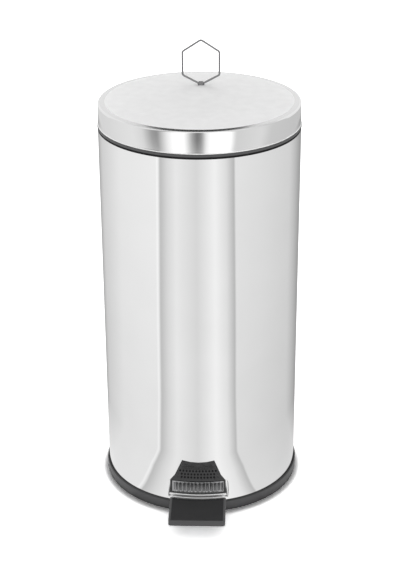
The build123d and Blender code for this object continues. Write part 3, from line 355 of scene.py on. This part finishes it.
softenRings(bm, [(rim["inside"], rim["top"])], rim["topEdge"], segments=2)
seam = Matrix.Rotation(math.radians(rim["seamDeg"]), 3, "Z") @ Vector((1, 0, 0))
side = Vector((-seam.y, seam.x, 0))
for way in (-1, 1):
    bmesh.ops.bisect_plane(bm, geom=bm.verts[:] + bm.edges[:] + bm.faces[:], dist=0.001,
                           plane_co=side * rim["seamHalf"] * way, plane_no=side)
for v in bm.verts:
    if v.co.dot(seam) > rim["seamBeyond"] and abs(v.co.dot(side)) < rim["seamHalf"] + slack:
        v.co -= seam * rim["seamDepth"]
bm = carve(bm, block(*rim["gap"]))
for face in bm.faces:  # the bead is grey; the rest, the band in the recess with it, is painted near black as shade
    middle = face.calc_center_median()
    face.material_index = int(fromAxis(middle) > rim["greyBeyond"] and middle.z > rim["greyAbove"])
finishPiece("topRim", bm, rim, [shadedRecessAbs, greyPolypropylene], "can", ["top_rim"])
print("rim made")

# lid: a pressed cap, satin on top, with a polished skirt and a rolled lower edge
lid = {"flat": 131.9, "polish": 135.2, "edge": 142.2, "radius": 145.3, "inside": 144.5, "top": 598.9,
       "drop": 0.8, "wall": 0.8, "corner": 2.6, "insideCorner": 3.0, "crease": 0.25, "flare": 569.1,
       "flareEdge": 0.6, "polishBelow": 0.4, "rollX": 145.7, "rollZ": 567.6, "roll": 0.5,
       "rollDegs": range(60, -181, -30), "steps": 240, "gap": ((-11, 100, 564), (11, 160, 579.5))}
top, brink = lid["top"], lid["top"] - lid["drop"]
under, underBrink = top - lid["wall"], brink - lid["wall"]
rollOut = [(lid["rollX"] + lid["roll"] * math.cos(a), lid["rollZ"] + lid["roll"] * math.sin(a))
           for a in [math.radians(d) for d in lid["rollDegs"]]]
fall = lid["drop"] * (lid["polish"] - lid["flat"]) / (lid["edge"] - lid["flat"])
outline = [(0, top), (lid["flat"], top), (lid["polish"], top - fall), (lid["edge"], brink),
           (lid["radius"], brink), (lid["radius"], lid["flare"]), *rollOut,
           (lid["inside"], lid["flare"]), (lid["inside"], underBrink), (lid["edge"], underBrink),
           (lid["flat"], under), (0, under)]
bm = turned(outline, steps=lid["steps"])
softenRings(bm, [(lid["radius"], brink)], lid["corner"], segments=8)
softenRings(bm, [(lid["inside"], underBrink)], lid["insideCorner"], segments=4)
softenRings(bm, [(lid["flat"], top), (lid["edge"], brink)], lid["crease"], segments=2)
softenRings(bm, [(lid["radius"], lid["flare"])], lid["flareEdge"])
bm = carve(bm, block(*lid["gap"]))
for face in bm.faces:  # the border and the skirt are polished, down to the rolled edge
    middle = face.calc_center_median()
    if fromAxis(middle) > lid["polish"] and middle.z > lid["flare"] - lid["polishBelow"]:
        face.material_index = 2 if middle.z > brink - slack else 1
finishPiece("lidShell", bm, lid, [satinSteel, polishedSkirt, polishedBorder], "lid",
            ["lid_shell"])
print("lid made")

# plastic ring inside the lid's skirt
liner = {"low": 567.4, "high": 575.4, "outside": 144.2, "inside": 142.0, "edge": 0.8,
         "gap": ((-15, 100, 564), (15, 160, 580))}
bm = turned([(liner["inside"], liner["low"]), (liner["outside"], liner["low"]),
             (liner["outside"], liner["high"]), (liner["inside"], liner["high"])], closed=True)
softenRings(bm, [(liner["inside"], liner["low"]), (liner["inside"], liner["high"])], liner["edge"])
bm = carve(bm, block(*liner["gap"]))
finishPiece("lidInnerRing", bm, liner, [blackAbs], "lid", ["lid_inner_ring"])

# ring handle: a tall hexagon of drawn wire that turns in its saddle
ring = {"wire": 1.4, "segments": 20, "bendStepDeg": 7.5, "offset": 72.0, "pivotZ": 601.4, "half": 27.0,
        "side": 35.0, "crown": 17.5, "foot": 12.0, "corner": 4.0, "pivotHalf": 4.5, "pivotBend": 2.0}
footRun = Vector((ring["half"] - ring["pivotHalf"], ring["foot"]))
crownRun = Vector((ring["half"], ring["crown"]))
footTurn = math.degrees(math.atan2(footRun.y, footRun.x))
crownTurn = math.degrees(math.atan2(crownRun.y, crownRun.x))
bends = [(ring["pivotBend"], footTurn), (ring["corner"], 90 - footTurn),
         (ring["corner"], 90 - crownTurn), (ring["corner"], crownTurn * 2)]
bite = [radius * math.tan(math.radians(angle / 2)) for radius, angle in bends]
rise = [(ring["pivotHalf"] - bite[0],), bends[0], (footRun.length - bite[0] - bite[1],), bends[1],
        (ring["side"] - bite[1] - bite[2],), bends[2], (crownRun.length - bite[2] - bite[3],)]
path = rise + [bends[3]] + rise[::-1]
bm = bentWire(ring, (0, ring["offset"], ring["pivotZ"]), (1, 0, 0), (0, -1, 0), path)
# the wire's darker colour is painted, standing in for the dark it reflects
finishPiece("ringHandle", bm, ring, [drawnWirePaintedDark], "ring", ["ring_handle"])
saddle = {"sharpDeg": 40}
bm = smoothCopy("ring_saddle")
finishPiece("ringSaddle", bm, saddle, [drawnWirePaintedDark], "lid", ["ring_saddle"])
print("ring handle made")

# hood over the pedal: ribs across the top of its slope, rows of dimples below them
hood = {"sharpDeg": 28, "back": 146.2, "front": 165.0, "top": 88.0, "edge": 64.5, "topHalf": 23.9,
        "waistHalf": 34.2, "waist": 70.7, "rows": (15.6, 20.2, 24.8), "rowHalf": 2.0, "pitch": 4.8,
        "dimple": 1.6, "sides": 12, "depth": 1.2, "above": 2.0, "margin": 4.0, "pitHalf": 27.9,
        "pitSlack": 0.1}
slope = Vector((hood["front"] - hood["back"], hood["edge"] - hood["top"])).normalized()
cutter = bmesh.new()
for row in hood["rows"]:
    radius, height = hood["back"] + slope.x * row, hood["top"] + slope.y * row
    spread = min((hood["top"] - height) / (hood["top"] - hood["waist"]), 1)
    half = hood["topHalf"] + (hood["waistHalf"] - hood["topHalf"]) * spread - hood["margin"]
    count = int(half * 2 / hood["pitch"])
    for index in range(count + 1):
        turn = math.asin((index - count / 2) * hood["pitch"] / radius)
        out = Vector((math.sin(turn) * -slope.y, -math.cos(turn) * -slope.y, slope.x))
        place = Vector((math.sin(turn) * radius, -math.cos(turn) * radius, height))
        bottom, mouth = place - out * hood["depth"], place + out * hood["above"]
        rod(bottom, mouth, hood["dimple"], hood["sides"], cutter)
bm = carve(smoothCopy("pedal_hood", 0), cutter)
for face in bm.faces:  # the pits of the dimples are painted darker and matt, as shade
    middle = face.calc_center_median()
    out = Vector((fromAxis(middle) - hood["back"], middle.z - hood["top"]))
    sunk, along = out.dot((slope.y, -slope.x)), out.dot(slope)
    inRows = hood["rows"][0] - hood["rowHalf"] < along < hood["rows"][-1] + hood["rowHalf"]
    inPit = hood["pitSlack"] < sunk < hood["depth"] + hood["pitSlack"]
    face.material_index = int(inRows and inPit and abs(middle.x) < hood["pitHalf"])
front = [finishPiece("pedalHood", bm, hood, [blackAbs, shadedRecessAbs], "can",
                     ["pedal_hood"])]
# panel: a silver frame and ribs, and painted shade that darkens the recess behind the ribs
panel = {"sharpDeg": 28, "recess": 164.25, "slack": 0.05}
bm = smoothCopy("hood_panel", 0)
for face in bm.faces:
    behind = all(abs(fromAxis(v.co) - panel["recess"]) < panel["slack"] for v in face.verts)
    face.material_index = int(behind)
front.append(finishPiece("hoodPanel", bm, panel, [panelSilver, panelRecessShade], "can",
                         ["hood_panel"]))
# trim: the double bar's long edges are rounded
trim = {"sharpDeg": 40, "radius": 166.4, "slack": 0.1, "bend": 0.8, "edge": 0.65}
bm = smoothCopy("hood_trim")
longEdges = [e for e in bm.edges
             if all(abs(fromAxis(v.co) - trim["radius"]) < trim["slack"] for v in e.verts)
             and abs(e.verts[0].co.z - e.verts[1].co.z) < slack and len(e.link_faces) == 2
             and e.calc_face_angle(0) > trim["bend"]]
soften(bm, longEdges, trim["edge"])
front.append(finishPiece("hoodTrim", bm, trim, [satinChrome], "can", ["hood_trim"]))
for piece in front:
    piece.visible_glossy = False  # the photograph's shell shows no reflection of the hood
print("hood made")

# tread: the foot plate, a shallow tray with a low border
tread = {"half": 41.5, "front": -222.39, "rear": -153.0, "top": 32.4, "low": 24.7, "thick": 3.0,
         "corner": 4.0, "edge": 0.8, "border": 2.6, "bank": 0.7, "sink": 0.5, "cutPast": 1.0,
         "sharpDeg": 40}
bm = block((-tread["half"], tread["front"], tread["low"]),
           (tread["half"], tread["rear"], tread["top"]))
upright = [e for e in bm.edges if abs(e.verts[0].co.z - e.verts[1].co.z) > slack]
soften(bm, upright, tread["corner"], segments=6)
crown = [f for f in bm.faces if f.normal.z > 0.9]  # the face that looks up
bmesh.ops.inset_region(bm, faces=crown, thickness=tread["border"], depth=0)
bmesh.ops.inset_region(bm, faces=crown, thickness=tread["bank"], depth=-tread["sink"])
for face in crown:
    face.material_index = 1
# the border's outer edges, each between a face that looks up and an upright one
outerEdges = [e for e in bm.edges if all(abs(v.co.z - tread["top"]) < slack for v in e.verts)
              and any(f.normal.z > 0.9 for f in e.link_faces)
              and any(abs(f.normal.z) < 0.1 for f in e.link_faces)]
soften(bm, outerEdges, tread["edge"])
inner = tread["half"] - tread["thick"]
hollow = block((-inner, tread["front"] + tread["thick"], tread["low"] - tread["cutPast"]),
               (inner, tread["rear"] + tread["cutPast"], tread["top"] - tread["thick"]))
bm = carve(bm, hollow)
finishPiece("pedalTread", bm, tread, [treadPolypropylene, treadGrip], "lever",
            ["pedal_tread"])
print("tread made")

# hinge cover behind the can
cover = {"sharpDeg": 30}
bm = smoothCopy("hinge_cover")
finishPiece("hingeCover", bm, cover, [blackAbs], "can", ["hinge_cover"])

# bucket: a tapered pot that hangs by its flange, flat at the back, with two ears for the bail
bucket = {"radius": 121.0, "floorRadius": 116.0, "wall": 1.5, "low": 56.5, "edge": 6.0, "ledge": 557.4,
          "flange": 137.6, "flangeTop": 559.4, "flangeEdge": 0.7, "floorSoft": 2.0,
          "flat": ((-100, 125.8, 556), (100, 150, 562)), "earIn": 122.5, "earThick": 3.5,
          "earHalf": 5.0, "earTop": 568.4, "earSunk": 0.5, "earRound": 4.0, "pinZ": 564.4, "pin": 2.08}
low, edge = bucket["low"], bucket["edge"]
floorIn, wallIn = low + bucket["wall"], bucket["radius"] - bucket["wall"]
footIn = bucket["floorRadius"] - bucket["wall"]
bm = turned([(0, low), (bucket["floorRadius"] - edge, low), (bucket["floorRadius"], low + edge),
             (bucket["radius"], bucket["ledge"]), (bucket["flange"], bucket["ledge"]),
             (bucket["flange"], bucket["flangeTop"]), (wallIn, bucket["flangeTop"]),
             (footIn, floorIn + edge), (footIn - edge, floorIn), (0, floorIn)])
softenRings(bm, [(wallIn, bucket["flangeTop"]), (bucket["flange"], bucket["flangeTop"])],
            bucket["flangeEdge"])
softenRings(bm, [(footIn, floorIn + edge), (footIn - edge, floorIn)], bucket["floorSoft"],
            segments=4)
bm = carve(bm, block(*bucket["flat"]))
for way in (-1, 1):
    near, far = way * bucket["earIn"], way * (bucket["earIn"] + bucket["earThick"])
    ear = block((min(near, far), -bucket["earHalf"], bucket["flangeTop"] - bucket["earSunk"]),
                (max(near, far), bucket["earHalf"], bucket["earTop"]))
    crest = [e for e in ear.edges if all(v.co.z > bucket["pinZ"] for v in e.verts)
             and abs(e.verts[0].co.x - e.verts[1].co.x) > slack]
    soften(ear, crest, bucket["earRound"], segments=6)
    hole = rod((near - way, 0, bucket["pinZ"]), (far + way, 0, bucket["pinZ"]), bucket["pin"])
    ear = carve(ear, hole)
    mesh = bpy.data.meshes.new("blank")  # carries the ear into the pot's mesh
    ear.to_mesh(mesh)
    ear.free()
    bm.from_mesh(mesh)
finishPiece("innerBucket", bm, bucket, [bucketPolypropylene], "bucket",
            ["inner_bucket"])
print("bucket made")

# bail: the bucket's wire handle and its plastic grip
bail = {"wire": 2.0, "segments": 20, "bendStepDeg": 3.0, "x": 128.8, "z": 564.4, "bend": 3.4,
        "end": 121.5, "grip": 4.0, "gripEdge": 1.2, "gripHalfDeg": 22.0, "gripSteps": 24}
lead = bail["x"] - bail["bend"] - bail["end"]
bm = bentWire(bail, (-bail["end"], 0, bail["z"]), (-1, 0, 0), (0, 0, 1),
              [(lead,), (bail["bend"], 90), (bail["x"], 180), (bail["bend"], 90), (lead,)])
bmesh.ops.holes_fill(bm, edges=[e for e in bm.edges if e.is_boundary], sides=0)
finishPiece("bucketBail", bm, bail, [zincPlate], "bail", ["bucket_bail"])
bm = bmesh.new()
centre = (0, -bail["bend"], bail["z"])
swing = Matrix.Rotation(math.radians(-90 - bail["gripHalfDeg"]), 4, "Z")
start = Matrix.Translation(centre) @ swing @ Matrix.Translation((bail["x"], 0, 0))
start = start @ Matrix.Rotation(math.radians(90), 4, "X")
bmesh.ops.create_circle(bm, cap_ends=True, segments=bail["gripSteps"], radius=bail["grip"],
                        matrix=start)
bmesh.ops.spin(bm, geom=bm.verts[:] + bm.edges[:] + bm.faces[:], cent=centre, axis=(0, 0, 1),
               angle=math.radians(bail["gripHalfDeg"] * 2), steps=bail["gripSteps"])
bmesh.ops.recalc_face_normals(bm, faces=bm.faces)
caps = [f for f in bm.faces if len(f.verts) == bail["gripSteps"]]
soften(bm, [e for f in caps for e in f.edges], bail["gripEdge"])
finishPiece("bailGrip", bm, bail, [blackAbs], "bail", ["bail_grip"])
print("bail made")

# the pieces that stay as the CAD made them, by finish
cadFinish = [
    (blackAbs, ["base_pan", "bucket_ledge", "rod_guides"]),
    (zincPlate, ["base_screws", "hinge_bracket", "hinge_rivets", "hinge_pin", "lid_bracket", "push_rod",
                 "rod_collars", "rod_cap", "pedal_lever", "lever_pin", "lever_clips", "tread_rivets",
                 "hood_screws"]),
]
for material, nodes in cadFinish:
    for node in nodes:
        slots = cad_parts[node].data.materials
        slots.clear()
        slots.append(material)
    print("finish", material.name, "set on", len(nodes), "CAD nodes")

# floor: pale and plain; it lifts to white for the camera and keeps the shadow round the foot
stage = {"floorZ": -0.0004, "size": 6.0, "diffuse": 0.8, "glow": 0.15, "cameraDiffuse": 1.7,
         "cameraGlow": 0.08}
material, tree = emptyMaterial("paleFloor")
seen = addNode(tree, "ShaderNodeLightPath").outputs["Is Camera Ray"]
tone = addNode(tree, "ShaderNodeMapRange", links={"Value": seen},
               values={"To Min": stage["diffuse"], "To Max": stage["cameraDiffuse"]})
glow = addNode(tree, "ShaderNodeMapRange", links={"Value": seen},
               values={"To Min": stage["glow"], "To Max": stage["cameraGlow"]})
matt = addNode(tree, "ShaderNodeBsdfDiffuse", links={"Color": tone.outputs["Result"]})
shine = addNode(tree, "ShaderNodeEmission", links={"Strength": glow.outputs["Result"]})
both = addNode(tree, "ShaderNodeAddShader",
               links={0: matt.outputs["BSDF"], 1: shine.outputs["Emission"]})
addNode(tree, "ShaderNodeOutputMaterial", links={"Surface": both.outputs["Shader"]})
bm = bmesh.new()
bmesh.ops.create_grid(bm, x_segments=2, y_segments=2, size=stage["size"],
                      matrix=Matrix.Translation((0, 0, stage["floorZ"])))
floor = meshObject("paleFloor", bm, [material])

world = bpy.data.worlds.new("studio")
bpy.context.scene.world = world
world.use_nodes = True
sky = world.node_tree.nodes["Background"].inputs
sky["Color"].default_value = hexColor("#ffffff")
sky["Strength"].default_value = 1.0

# studio cards round the can, seen only in its polish: pale walls with darker gaps between them
# a ring is (radius, height, widening of the pattern, share of the upper brightness)
# a stop is (degrees from the front, upper brightness, lower brightness)
cards = {
    "bodyWall": {
        "rings": [(0.150, 0.0006, 1.28, 0.0), (0.21, 0.0006, 1.24, 0.0), (0.25, 0.0006, 1.19, 0.0),
                  (0.30, 0.0006, 1.06, 0.0), (0.30, 0.10, 1.015, 0.2), (0.30, 0.25, 1.0, 0.6),
                  (0.30, 0.509, 0.945, 1.0)],
        "stops": [(-180, 0.42, 0.42), (-133, 0.45, 0.45), (-116, 0.76, 0.72), (-80, 1.02, 0.94),
                  (-37, 1.09, 0.99), (-36.4, 1.28, 1.18), (-35.4, 1.28, 1.18), (-34.8, 0.62, 0.62),
                  (-27, 0.89, 0.87), (-19, 1.04, 1.03), (-1, 0.87, 0.87), (15, 1.13, 1.13),
                  (25, 0.93, 0.99), (32.6, 0.58, 0.62), (33.4, 0.98, 0.91), (60, 0.93, 0.84),
                  (100, 0.815, 0.75), (130, 0.40, 0.40)],
    },
    "skirtWall": {
        "rings": [(0.30, 0.509, 0.90, 0.0), (0.30, 0.5235, 0.92, 0.12), (0.30, 0.5275, 0.93, 0.5),
                  (0.30, 0.534, 0.95, 0.77), (0.30, 0.5415, 0.98, 0.88), (0.30, 0.5525, 1.0, 1.0),
                  (0.30, 0.575, 1.0, 1.0)],
        "stops": [(-180, 0.45, 0.45), (-120, 0.80, 0.80), (-60, 0.97, 0.97), (-49, 0.88, 0.92),
                  (-39, 0.42, 0.80), (-34, 0.36, 0.86), (-25, 1.08, 1.25), (-20, 1.35, 1.35),
                  (-11, 1.35, 1.35), (-4.4, 0.50, 1.10), (-0.2, 0.22, 1.00), (3.6, 0.36, 1.05),
                  (7.6, 1.10, 1.25), (11.6, 1.35, 1.35), (28, 1.35, 1.35), (33, 0.80, 0.82),
                  (58, 0.90, 0.90), (70, 0.74, 0.74), (120, 0.66, 0.66), (180, 0.45, 0.45)],
    },
}
# the front half of the skirt's pattern goes on over the lid, for the rounded corner
cards["cornerDome"] = {**cards["skirtWall"], "turnDeg": -180, "rings": [
    (0.30, 0.575, 1.0, 1.0), (0.29, 0.65, 1.0, 1.0), (0.25, 0.74, 1.0, 1.0), (0.17, 0.81, 1.0, 1.0)]}
cardSteps = 120
frontSector = 60.0  # degrees each side of the front in which the pattern widens
rampTop = 2.0  # the brightness that a colour ramp's 1 stands for


def cardMaterial(name, stops):
    material, tree = emptyMaterial(name)
    chart = addNode(tree, "ShaderNodeUVMap", {"uv_map": "chart"})
    split = addNode(tree, "ShaderNodeSeparateXYZ", links={"Vector": chart.outputs["UV"]})
    angles, upper, lower = zip(*stops)
    tones = {}
    for socket, brightness in {"A": lower, "B": upper}.items():
        ramp = addNode(tree, "ShaderNodeValToRGB", links={"Fac": split.outputs["X"]})
        elements = ramp.color_ramp.elements
        for index, (angle, bright) in enumerate(zip(angles, brightness)):
            place = angle / 360 + 0.5
            element = elements[index] if index < 2 else elements.new(place)  # a new ramp has two
            element.position = place
            element.color = [bright / rampTop] * 3 + [1]
        tones[socket] = ramp.outputs["Color"]
    tone = addNode(tree, "ShaderNodeMix", {"data_type": "RGBA"},
                   links={"Factor": split.outputs["Y"], **tones})
    lamp = addNode(tree, "ShaderNodeEmission", values={"Strength": rampTop},
                   links={"Color": tone.outputs["Result"]})
    addNode(tree, "ShaderNodeOutputMaterial", links={"Surface": lamp.outputs["Emission"]})
    return material


def finishCard(name, bm, material, hidden=("diffuse", "shadow")):
    wallCard = meshObject(name, bm, [material])
    for ray in ("camera", "transmission", "volume_scatter", *hidden):
        setattr(wallCard, "visible_" + ray, False)


for name, card in cards.items():
    bm = bmesh.new()
    line = [bm.verts.new((radius, 0, height)) for radius, height, widening, share in card["rings"]]
    edges = [bm.edges.new(pair) for pair in zip(line, line[1:])]
    turn = math.radians(card.get("turnDeg", 360))
    bmesh.ops.spin(bm, geom=line + edges, cent=(0, 0, 0), axis=(0, 0, 1), angle=turn, steps=cardSteps,
                   use_merge="turnDeg" not in card)
    chart = bm.loops.layers.uv.new("chart")  # across it the angle, 0.5 in front, and up it the share
    for face in bm.faces:
        middle = face.calc_center_median()
        facing = math.degrees(math.atan2(middle.x, -middle.y))
        for loop in face.loops:
            x, y, z = loop.vert.co
            angle = math.degrees(math.atan2(x, -y))
            angle += 360 * round((facing - angle) / 360)
            level = min(card["rings"], key=lambda r: abs(r[0] - math.hypot(x, y)) + abs(r[1] - z))
            widening, share = level[2:]
            near = min(abs(angle), frontSector) / widening
            squeeze = (180 - frontSector / widening) / (180 - frontSector)
            rest = max(abs(angle) - frontSector, 0) * squeeze
            loop[chart].uv = (math.copysign(near + rest, angle) / 360 + 0.5, share)
    finishCard(name, bm, cardMaterial(name, card["stops"]))

# dark card over the lid's rear: its reflection is the thin dark line along the lid's front border
arch = {"radius": 0.40, "half": 0.16, "startDeg": 25.0, "endDeg": 34.0, "steps": 12, "y": -0.14,
        "z": 0.594, "tone": 0.03}
bm = bmesh.new()
ends = [bm.verts.new((way * arch["half"], arch["y"] + arch["radius"], arch["z"])) for way in (-1, 1)]
geom = ends + [bm.edges.new(ends)]
centre = (0, arch["y"], arch["z"])
lift = Matrix.Rotation(math.radians(arch["startDeg"]), 3, "X")
bmesh.ops.rotate(bm, verts=ends, cent=centre, matrix=lift)
bmesh.ops.spin(bm, geom=geom, cent=centre, axis=(1, 0, 0), steps=arch["steps"],
               angle=math.radians(arch["endDeg"] - arch["startDeg"]))
material, tree = emptyMaterial("edgeCard")
lamp = addNode(tree, "ShaderNodeEmission", values={"Strength": arch["tone"]})
addNode(tree, "ShaderNodeOutputMaterial", links={"Surface": lamp.outputs["Emission"]})
finishCard("edgeCard", bm, material)

# dark flags just over the floor, which only diffuse and shadow rays meet: they deepen the soft shadow
# round the foot and under the pedal
flags = {"inside": 0.1430, "outside": 0.1545, "ahead": 0.0045, "z": 0.0050, "half": 0.0405,
         "front": -0.185, "rear": -0.155}
material, tree = emptyMaterial("blackFlag")
matt = addNode(tree, "ShaderNodeBsdfDiffuse", values={"Color": hexColor("#000000")})
addNode(tree, "ShaderNodeOutputMaterial", links={"Surface": matt.outputs["BSDF"]})
bm = bmesh.new()
line = [bm.verts.new((flags[key], -flags["ahead"], flags["z"])) for key in ("inside", "outside")]
spinRound(bm, line + [bm.edges.new(line)], cardSteps, (0, -flags["ahead"], 0))
plate = Matrix.Translation((0, (flags["front"] + flags["rear"]) / 2, flags["z"]))
plate = plate @ Matrix.Diagonal((flags["half"], (flags["rear"] - flags["front"]) / 2, 1, 1))
bmesh.ops.create_grid(bm, x_segments=1, y_segments=1, size=1, matrix=plate)
finishCard("footFlag", bm, material, hidden=["glossy"])
print("stage set")

# camera: as the photograph was taken, a little to the right and from above
view = {"lens": 90.42, "sensor": 36.0, "away": 1.96157, "height": 1.21368, "pitch": 0.4328,
        "roll": -0.0059, "aroundDeg": 2.0, "shift": -0.00092}
around = math.radians(view["aroundDeg"])
cameraData = bpy.data.cameras.new("photoCamera")
cameraData.lens = view["lens"]
cameraData.sensor_width = view["sensor"]
cameraData.shift_x = view["shift"]
camera = bpy.data.objects.new("photoCamera", cameraData)
bpy.context.scene.collection.objects.link(camera)
spot = (view["away"] * math.sin(around), -view["away"] * math.cos(around), view["height"])
camera.matrix_world = (
    Matrix.Translation(spot) @ Matrix.Rotation(around, 4, "Z")
    @ Matrix.Rotation(math.pi / 2 - view["pitch"], 4, "X") @ Matrix.Rotation(view["roll"], 4, "Z"))
bpy.context.scene.camera = camera
bpy.context.scene.view_settings.view_transform = "Standard"
print("camera set")
